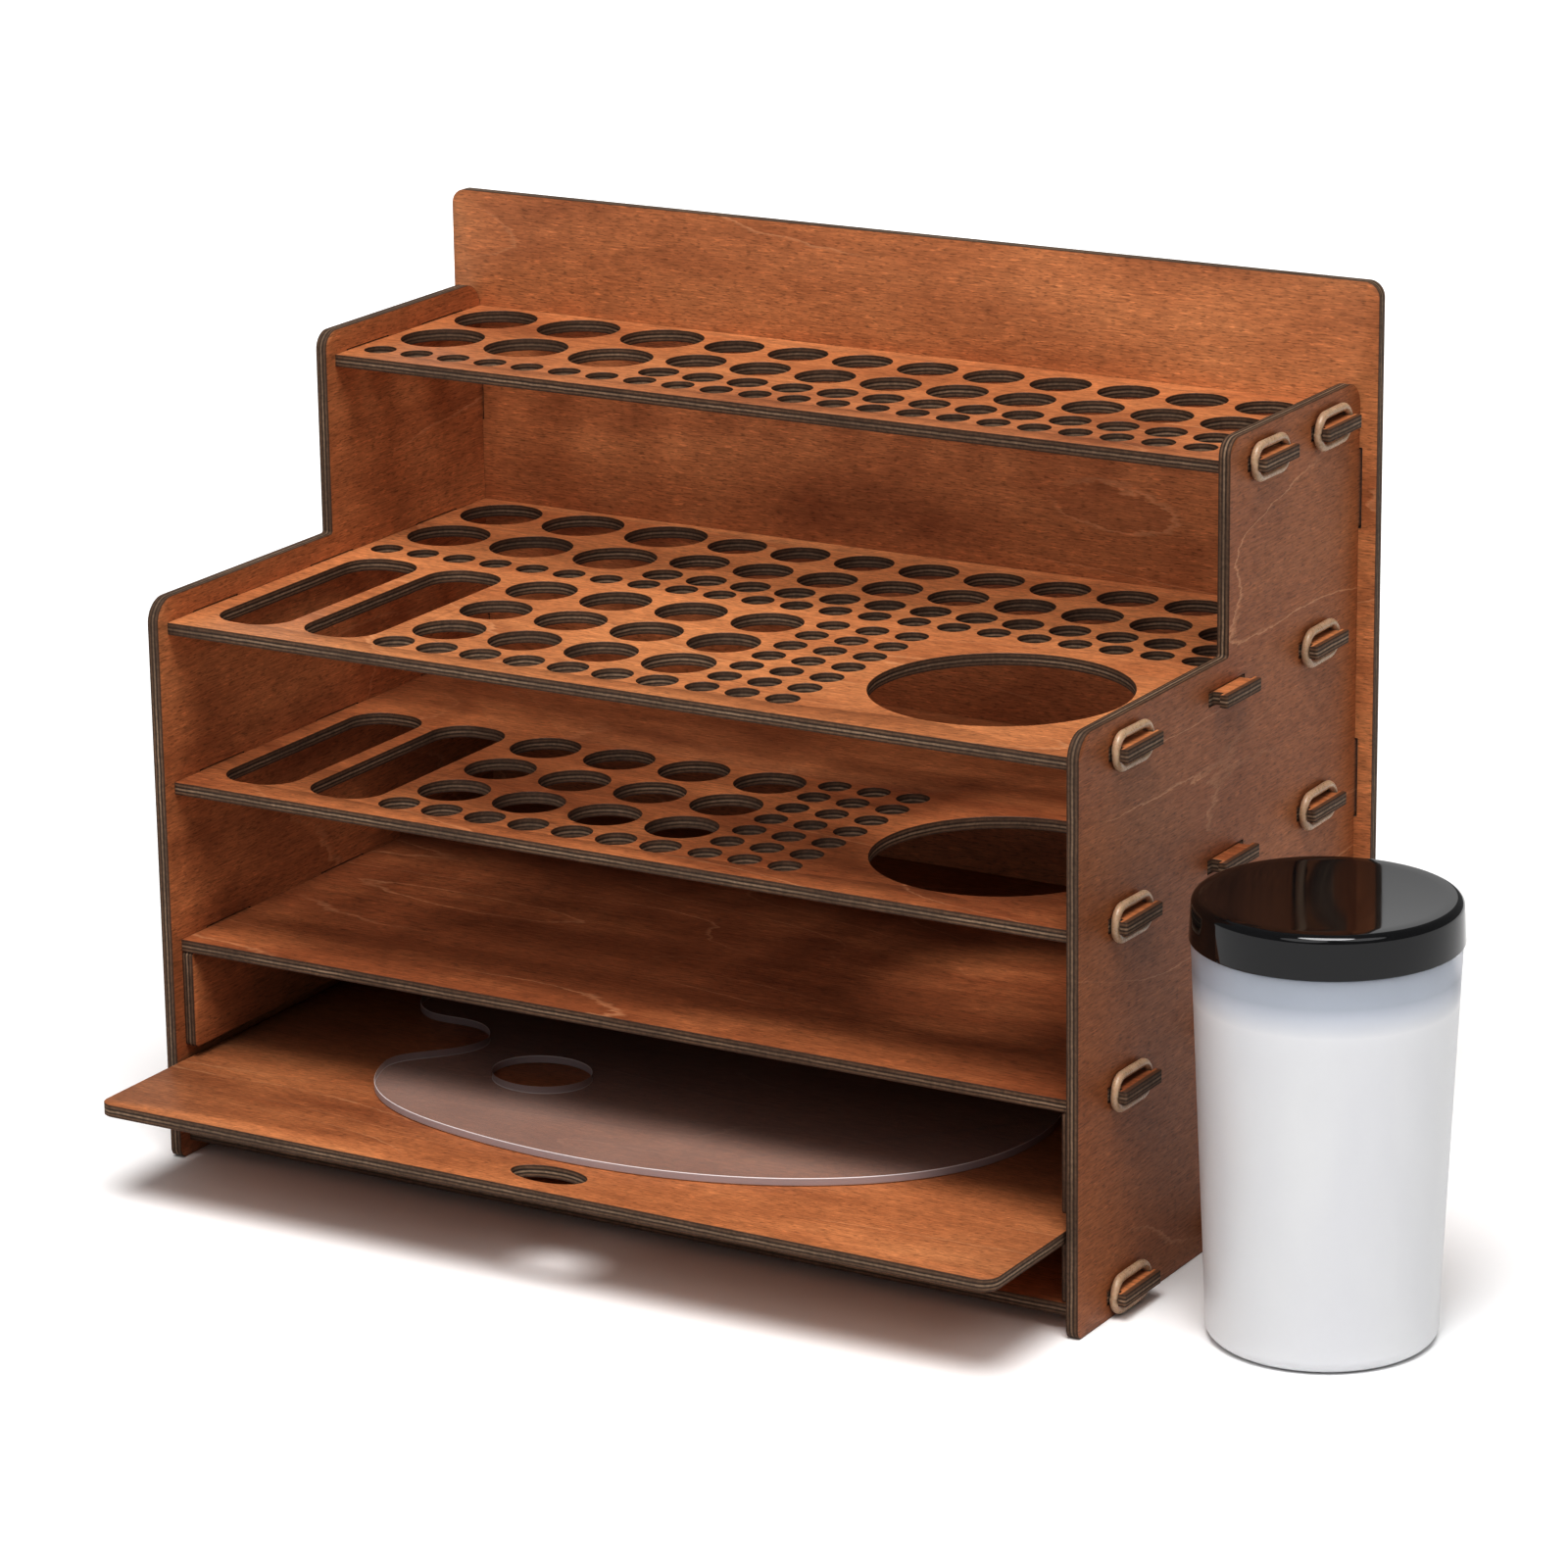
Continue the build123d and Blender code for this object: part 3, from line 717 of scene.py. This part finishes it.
def fit(piece: bpy.types.Object, node: str) -> None:
    """Puts a finished piece in its CAD node's place, on the same body.

    Args:
        piece: the finished piece.
        node: the node that it stands for.
    """
    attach(piece, BODY_OF[node])
    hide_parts(node)
    LOG.info("%s stands for %s on %s", piece.name, node, BODY_OF[node])


@dataclass
class PlywoodSheet:
    """One laser-cut sheet of the rack or its tray."""

    node: str
    through: Axis
    along: Axis
    shift: float
    # which face takes the painted shade tone
    painted_shade_side: float = 0.0
    # the stain made lighter or darker as painted sheen and shade
    painted_sheen_shade: float = 0.0
    tabbed: bool = False        # True where tabs stand out of the side panels
    ease: float = 0.16 * MM

    def build(self) -> None:
        """Makes the sheet with eased edges and its own veneer."""
        low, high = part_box(self.node)
        depth = self.through.value
        finish = StainedPlywood(
            f"{self.node}_stain", self.through, self.along, low[depth], high[depth] - low[depth],
            self.shift, self.painted_shade_side, self.painted_sheen_shade, high.x if self.tabbed else 0.0,
        )
        mesh = eased_copy(self.node, f"{self.node}_sheet", self.ease)
        fit(new_piece(f"{self.node}_sheet", mesh, finish.material()), self.node)


@dataclass
class TabBand:
    """A rubber ring stretched over a tab, lying against the side panel."""

    node: str
    phase: float
    bend_radius: float = 4.8 * MM
    corner_steps: int = 12
    straight_steps: int = 10
    around: int = 20
    lift: float = 0.12 * MM     # how far the ring wanders from its plane
    waves: int = 3              # how often it does so in one round
    swell: float = 0.035        # how much thinner it is where it is stretched most
    swells: int = 2             # how often it is so in one round

    def path(self, half_length: float, half_height: float) -> np.ndarray:
        """Gives the ring's centre line: a rectangle with its corners rounded by arcs.

        Args:
            half_length: half of its length, along Y.
            half_height: half of its height, along Z.

        Returns:
            The points' Y and Z about the ring's middle.
        """
        long_side, short_side = half_length - self.bend_radius, half_height - self.bend_radius
        signs = ((1, 1), (-1, 1), (-1, -1), (1, -1))
        corners = [
            arc((y * long_side, z * short_side), self.bend_radius, 90 * turn, 90 * (turn + 1),
                self.corner_steps)
            for turn, (y, z) in enumerate(signs)
        ]
        runs = [
            np.linspace(first[-1], second[0], self.straight_steps + 2)[1:-1]
            for first, second in zip(corners, corners[1:] + corners[:1])
        ]
        return np.vstack([part for pair in zip(corners, runs) for part in pair])

    def build(self, material: bpy.types.Material) -> None:
        """Makes the ring: a circle carried along the path, which wanders and swells a little.

        A point's place is the path's, plus the circle's cosine along X and its sine along the
        path's outward normal. The wander is a sine of the turn, and the thickness a cosine of it.

        Args:
            material: the rubber.
        """
        low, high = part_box(self.node)
        middle, half = (low + high) / 2, (high - low) / 2
        radius = half.x - self.lift
        path = self.path(half.y - radius - self.lift, half.z - radius - self.lift)
        ahead = np.roll(path, -1, axis=0) - np.roll(path, 1, axis=0)
        ahead /= np.linalg.norm(ahead, axis=1, keepdims=True)
        outward = np.stack([ahead[:, 1], -ahead[:, 0]], axis=-1)
        turn = np.linspace(0, 2 * np.pi, len(path), endpoint=False)
        wander = self.lift * np.sin(self.waves * turn + self.phase)
        thick = radius * (1 - self.swell * (1 + np.cos(self.swells * turn + self.phase)) / 2)
        angle = np.linspace(0, 2 * np.pi, self.around, endpoint=False)
        sideways = thick[:, None] * np.cos(angle)
        spread = thick[:, None] * np.sin(angle)
        points = np.stack([
            middle.x + wander[:, None] + sideways,
            middle.y + path[:, :1] + outward[:, :1] * spread,
            middle.z + path[:, 1:] + outward[:, 1:] * spread,
        ], axis=-1)
        mesh = grid_mesh(f"{self.node}_ring", points, closed_rows=True)
        fit(new_piece(f"{self.node}_ring", mesh, material), self.node)


@dataclass
class Rack:
    """The plywood rack: its panels, shelves and rails, and the bands that hold its tabs."""

    sides: tuple[str, str] = ("left", "right")
    banded: tuple[str, ...] = ("shelf_1", "shelf_2", "shelf_3", "shelf_4", "bottom_shelf")
    rails: tuple[str, str] = ("upper_rail", "lower_rail")
    # painted sheen and shade: each sheet's stain is lightened or darkened to match how bright it looks
    # when lit
    painted_sheen_shade: tuple[float, ...] = (0.03, 0.11, -0.06, -0.17, 0.0)
    back_painted_sheen_shade: float = 0.05
    back_shift: float = 2.47    # the shifts say which part of the veneer each sheet was cut from
    panel_shift: float = 1.13
    next_panel: float = 2.3
    rail_shift: float = 5.1
    next_side: float = 0.7
    next_rail: float = 1.9
    shelf_shift: float = 8.2
    next_shelf: float = 1.37
    phase_step: float = 1.7     # turns the wander of each band from the last one's

    def uprights(self) -> list[PlywoodSheet]:
        """Lists the back panel, the side panels and the rails."""
        back = PlywoodSheet("back_panel", Axis.Y, Axis.X, self.back_shift, painted_sheen_shade=self.back_painted_sheen_shade)
        sheets = [back]
        for order, side in enumerate(self.sides):
            # the outer face of each side panel takes the painted shade tone
            outer = 1.0 if side == "right" else -1.0
            shift = self.panel_shift + self.next_panel * order
            sheets.append(PlywoodSheet(f"side_panel_{side}", Axis.X, Axis.Y, shift, outer))
            for step, rail in enumerate(self.rails):
                shift = self.rail_shift + self.next_side * order + self.next_rail * step
                sheets.append(PlywoodSheet(f"{rail}_{side}", Axis.X, Axis.Y, shift))
        return sheets

    def shelves(self) -> list[PlywoodSheet]:
        """Lists the shelves, from the top down."""
        sheets = []
        for order, (node, pale) in enumerate(zip(self.banded, self.painted_sheen_shade)):
            shift = self.shelf_shift + self.next_shelf * order
            sheets.append(PlywoodSheet(node, Axis.Z, Axis.X, shift, painted_sheen_shade=pale, tabbed=True))
        return sheets

    def build(self) -> None:
        """Makes every sheet, then every band."""
        for sheet in self.uprights() + self.shelves():
            sheet.build()
        rubber = BandRubber().material()
        places = product(self.banded, ("rear", "front"), self.sides)
        for order, (shelf, end, side) in enumerate(places):
            TabBand(f"band_{shelf}_{end}_{side}", phase=self.phase_step * order).build(rubber)


@dataclass
class TrayAndPalette:
    """The pulled-out tray, and the paint palette that lies on it."""

    tray_shift: float = 17.3
    palette_ease: float = 0.22 * MM

    def build(self) -> None:
        """Makes the tray's sheet and the palette's plate."""
        PlywoodSheet("sliding_tray", Axis.Z, Axis.X, self.tray_shift).build()
        low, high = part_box("palette")
        mesh = plate_mesh("palette_plate", outlines("palette"), low.z, high.z, self.palette_ease)
        fit(new_piece("palette_plate", mesh, FrostedAcrylic().material()), "palette")


@dataclass
class Jar:
    """The frosted jar: a tapered round wall with a rounded foot, and a neck that the lid covers."""

    base_radius: float = 34.7 * MM
    top_radius: float = 39.6 * MM
    shoulder: float = 122.8 * MM
    neck_radius: float = 38.3 * MM
    wall: float = 1.3 * MM
    floor: float = 2.0 * MM
    foot_round: float = 4.5 * MM
    push_up: float = 1.0 * MM
    foot_ring: float = 3.0 * MM
    rim_round: float = 0.6 * MM
    swell: float = 0.2 * MM         # how much wider than the base the wall is just over its foot
    swell_height: float = 0.12      # where that is, as a share of the shoulder's height
    step: float = 0.3 * MM          # how much the shoulder rises to the neck
    mouth_step: tuple[float, float] = (0.9 * MM, 1.0 * MM)  # how far in and down it lies inside

    def profile(self, top: float) -> np.ndarray:
        """Gives the wall's section, from the middle of the base, up the outside and down the inside.

        Args:
            top: the height of the rim.

        Returns:
            Radius and height of each point.
        """
        lean = math.degrees(math.atan2(self.top_radius - self.base_radius, self.shoulder))
        foot = (self.base_radius - self.foot_round, self.foot_round)
        inner_round = self.foot_round - self.wall
        inner_foot = (foot[0], self.push_up + self.floor + inner_round)
        ring = self.base_radius - self.foot_round - self.foot_ring
        inner_neck = self.neck_radius - self.wall
        wall_start = (self.base_radius + self.swell, self.swell_height * self.shoulder)
        inward, down = self.mouth_step
        return np.vstack([
            [(0, self.push_up), (ring - self.push_up, self.push_up), (ring, 0)],
            arc(foot, self.foot_round, -90, -lean, 12),
            np.linspace(wall_start, (self.top_radius, self.shoulder), 8),
            [(self.neck_radius, self.shoulder + self.step)],
            arc((self.neck_radius - self.rim_round, top - self.rim_round), self.rim_round, 0, 90, 5),
            arc((inner_neck + self.rim_round, top - self.rim_round), self.rim_round, 90, 180, 5),
            [(inner_neck, self.shoulder)],
            [(self.top_radius - self.wall - inward, self.shoulder - down)],
            arc(inner_foot, inner_round, -lean, -90, 9),
            [(0, self.push_up + self.floor)],
        ])

    def build(self) -> None:
        """Makes the jar about its node's middle."""
        low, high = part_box("jar")
        centre = (low + high) / 2
        milky = MilkyPlastic(neck=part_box("jar_lid")[0].z)
        mesh = revolved("jar_wall", self.profile(high.z), centre)
        fit(new_piece("jar_wall", mesh, milky.material()), "jar")


@dataclass
class JarLid:
    """The black lid: a cap with a rounded top edge, and a plug that fills the jar's mouth."""

    lower_radius: float = 40.29 * MM
    upper_radius: float = 39.7 * MM
    edge_round: float = 2.5 * MM
    wall: float = 1.4 * MM
    plate: float = 2.0 * MM
    skirt_bottom: float = 123.1 * MM
    lip_round: float = 0.35 * MM
    plug_radius: float = 36.7 * MM
    plug_wall: float = 1.3 * MM
    dish: float = 0.25 * MM     # how far the top dips inside its edge
    dish_rim: float = 6 * MM    # how far in from the edge the dip starts
    dish_slope: float = 3 * MM  # how wide its slope is

    def profile(self, bottom: float, top: float) -> np.ndarray:
        """Gives the lid's section, from the middle of its top, down the skirt, and back by the plug.

        Args:
            bottom: the plug's lowest height.
            top: the lid's highest height.

        Returns:
            Radius and height of each point.
        """
        under = top - self.plate
        skirt = self.lower_radius - self.wall
        inner_plug = self.plug_radius - self.plug_wall
        rim = self.upper_radius - self.dish_rim
        edge = (self.upper_radius - self.edge_round, top - self.edge_round)
        skirt_lip = (self.lower_radius - self.lip_round, self.skirt_bottom + self.lip_round)
        plug_lip = (self.plug_radius - self.lip_round, bottom + self.lip_round)
        return np.vstack([
            [(0, top - self.dish), (rim - self.dish_slope, top - self.dish), (rim, top)],
            arc(edge, self.edge_round, 90, 0, 12),
            arc(skirt_lip, self.lip_round, 0, -90, 5),
            [(skirt, self.skirt_bottom), (skirt, under), (self.plug_radius, under)],
            arc(plug_lip, self.lip_round, 0, -90, 5),
            [(inner_plug, bottom), (inner_plug, under), (0, under)],
        ])

    def build(self) -> None:
        """Makes the lid about its node's middle."""
        low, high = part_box("jar_lid")
        centre = (low + high) / 2
        mesh = revolved("lid_cap", self.profile(low.z, high.z), centre)
        fit(new_piece("lid_cap", mesh, BlackPlastic().material()), "jar_lid")


@dataclass
class Studio:
    """The pale floor, the soft lights and the camera."""

    azimuth: float = 30.584     # degrees, from straight in front towards the right
    elevation: float = 16.716
    roll: float = -0.763
    lens: float = 134.9         # millimetres, on a 36 mm sensor
    aim: tuple[float, float, float] = (0.0, -0.102, 0.150)
    sideways: float = 0.012936
    upward: float = -0.023388
    distance: float = 1.84751
    floor_size: float = 12.0
    floor_gap: float = 0.05 * MM
    world_strength: float = 0.26
    contrast: float = 1.3       # how much deeper than true the photograph's shadows are
    board_size: float = 1.2
    board_power: float = 3.0

    def floor(self) -> None:
        """Lays the floor just under the organizer's feet."""
        mesh = bpy.data.meshes.new("floor")
        half = self.floor_size / 2
        corners = ((-half, -half), (half, -half), (half, half), (-half, half))
        mesh.from_pydata([(x, y, -self.floor_gap) for x, y in corners], [], [(0, 1, 2, 3)])
        new_piece("floor", mesh, PaleBacking().material())

    def towards(self, azimuth: float, elevation: float) -> Vector:
        """Gives the direction from the organizer to a thing at these angles, in degrees."""
        turn, rise = math.radians(azimuth), math.radians(elevation)
        return Vector((math.sin(turn) * math.cos(rise), -math.cos(turn) * math.cos(rise), math.sin(rise)))

    def light(self, name: str, azimuth: float, elevation: float, power: float, spread: float) -> None:
        """Adds a wide far light, like a big diffuser.

        Args:
            name: the light's name.
            azimuth, elevation: where it stands, in degrees.
            power: its power in watts on each square metre.
            spread: how wide it looks, in degrees.
        """
        data = bpy.data.lights.new(name, "SUN")
        data.angle = math.radians(spread)
        data.energy = power
        lamp = bpy.data.objects.new(name, data)
        lamp.rotation_euler = (-self.towards(azimuth, elevation)).to_track_quat("-Z", "Y").to_euler()
        bpy.context.scene.collection.objects.link(lamp)

    def backdrop(self) -> None:
        """Hangs a white board behind, where the lid mirrors it."""
        data = bpy.data.lights.new("white_board", "AREA")
        data.shape = "SQUARE"
        data.size = self.board_size
        data.energy = self.board_power
        board = bpy.data.objects.new("white_board", data)
        way = self.towards(self.azimuth + 180, self.elevation)
        board.location = Vector(self.aim) + way * self.distance
        board.rotation_euler = (-way).to_track_quat("-Z", "Y").to_euler()
        bpy.context.scene.collection.objects.link(board)

    def sky(self) -> None:
        """Fills the room with even white light."""
        world = bpy.data.worlds.new("studio")
        world.use_nodes = True
        background = world.node_tree.nodes["Background"]
        background.inputs["Color"].default_value = (1.0, 1.0, 1.0, 1.0)
        background.inputs["Strength"].default_value = self.world_strength
        bpy.context.scene.world = world

    def camera(self) -> None:
        """Sets the camera at the photograph's viewing angle."""
        azimuth, roll = math.radians(self.azimuth), math.radians(self.roll)
        back = self.towards(self.azimuth, self.elevation)
        level = Vector((math.cos(azimuth), math.sin(azimuth), 0))
        rise = back.cross(level)
        right = level * math.cos(roll) + rise * math.sin(roll)
        up = rise * math.cos(roll) - level * math.sin(roll)
        data = bpy.data.cameras.new("camera")
        data.lens = self.lens
        data.sensor_width = 36.0
        data.clip_end = 100.0
        camera = bpy.data.objects.new("camera", data)
        turn = Matrix((right, up, back)).transposed().to_4x4()
        place = Vector(self.aim) + right * self.sideways + up * self.upward + back * self.distance
        camera.matrix_world = Matrix.Translation(place) @ turn
        bpy.context.scene.collection.objects.link(camera)
        bpy.context.scene.camera = camera

    def build(self) -> None:
        """Sets the camera, the floor, the lights and the picture's contrast."""
        self.camera()
        self.floor()
        self.sky()
        self.backdrop()
        self.light("key", azimuth=24, elevation=69, power=2.8, spread=32)
        self.light("front", azimuth=4, elevation=36, power=0.5, spread=36)
        self.light("side", azimuth=62, elevation=50, power=0.5, spread=34)
        view = bpy.context.scene.view_settings
        view.view_transform = "Standard"
        view.gamma = 1 / self.contrast


class Section(Protocol):
    """A part of the scene that builds itself."""

    def build(self) -> None:
        """Adds the section to the scene."""


def main() -> None:
    """Builds the studio and every sub-assembly in order."""
    logging.basicConfig(level=logging.INFO, format="%(name)s: %(message)s")
    sections: tuple[Section, ...] = (Studio(), Rack(), TrayAndPalette(), Jar(), JarLid())
    for section in sections:
        section.build()
        LOG.info("%s is built", type(section).__name__)


if __name__ == "__main__":
    main()
